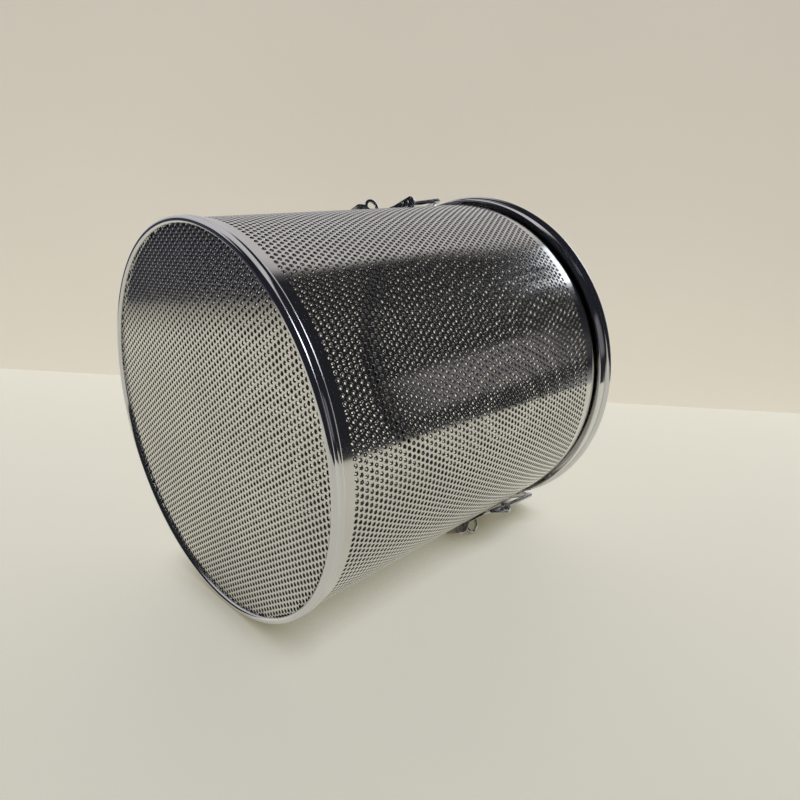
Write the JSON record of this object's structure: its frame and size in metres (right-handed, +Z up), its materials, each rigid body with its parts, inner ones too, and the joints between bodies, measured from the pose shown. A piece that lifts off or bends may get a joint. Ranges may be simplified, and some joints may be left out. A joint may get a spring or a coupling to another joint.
{
  "type": "perforated cheese mold",
  "caption": "Round perforated steel drum with a beaded base ring, a perforated base and a perforated skirted lid held on by two draw latches with padlock staples.",
  "frame": {"origin": "centre of the base ring's underside, on the drum axis", "axes": "+Z up along the drum axis from base to lid; latch A on +X, latch B on -X"},
  "size_m": [0.2164, 0.1986, 0.2016],
  "materials": {
    "perforated_sheet": "bright rolled",
    "polished_ring": "polished",
    "latch_sheet": "bright pressed",
    "bail_wire": "drawn wire",
    "rivet_steel": "polished"
  },
  "bodies": {
    "drum": {"drum_shell": "perforated_sheet", "base_ring": "polished_ring", "base_disc": "perforated_sheet", "latch_plate_a": "latch_sheet", "plate_rivets_a": "rivet_steel", "staple_a": "latch_sheet", "lever_pivots_a": "rivet_steel", "latch_plate_b": "latch_sheet", "plate_rivets_b": "rivet_steel", "staple_b": "latch_sheet", "lever_pivots_b": "rivet_steel"},
    "lid": {"lid_ring": "polished_ring", "lid_disc": "perforated_sheet", "keeper_a": "latch_sheet", "keeper_rivet_a": "rivet_steel", "keeper_b": "latch_sheet", "keeper_rivet_b": "rivet_steel"},
    "lever_a": {"lever_a": "latch_sheet"},
    "bail_a": {"bail_a": "bail_wire"},
    "lever_b": {"lever_b": "latch_sheet"},
    "bail_b": {"bail_b": "bail_wire"}
  },
  "joints": [
    {"name": "lid_lift", "type": "slide", "parent": "drum", "child": "lid", "axis": [0, 0, 1], "range_m": [0, 0.03]},
    {"name": "lever_open_a", "type": "hinge", "parent": "drum", "child": "lever_a", "pos_m": [0.101, 0, 0.1692], "axis": [0, -1, 0], "range_deg": [0, 110]},
    {"name": "bail_swing_a", "type": "hinge", "parent": "lever_a", "child": "bail_a", "pos_m": [0.1003, 0, 0.1644], "axis": [0, 1, 0], "range_deg": [0, 160]},
    {"name": "lever_open_b", "type": "hinge", "parent": "drum", "child": "lever_b", "pos_m": [-0.101, 0, 0.1692], "axis": [0, 1, 0], "range_deg": [0, 110]},
    {"name": "bail_swing_b", "type": "hinge", "parent": "lever_b", "child": "bail_b", "pos_m": [-0.1003, 0, 0.1644], "axis": [0, -1, 0], "range_deg": [0, 160]}
  ],
  "couplings": [
    {"joint": "lever_open_a", "follows": "lid_lift", "rad_per_m": 63.995},
    {"joint": "bail_swing_a", "follows": "lid_lift", "rad_per_m": 93.084},
    {"joint": "lever_open_b", "follows": "lid_lift", "rad_per_m": 63.995},
    {"joint": "bail_swing_b", "follows": "lid_lift", "rad_per_m": 93.084}
  ]
}
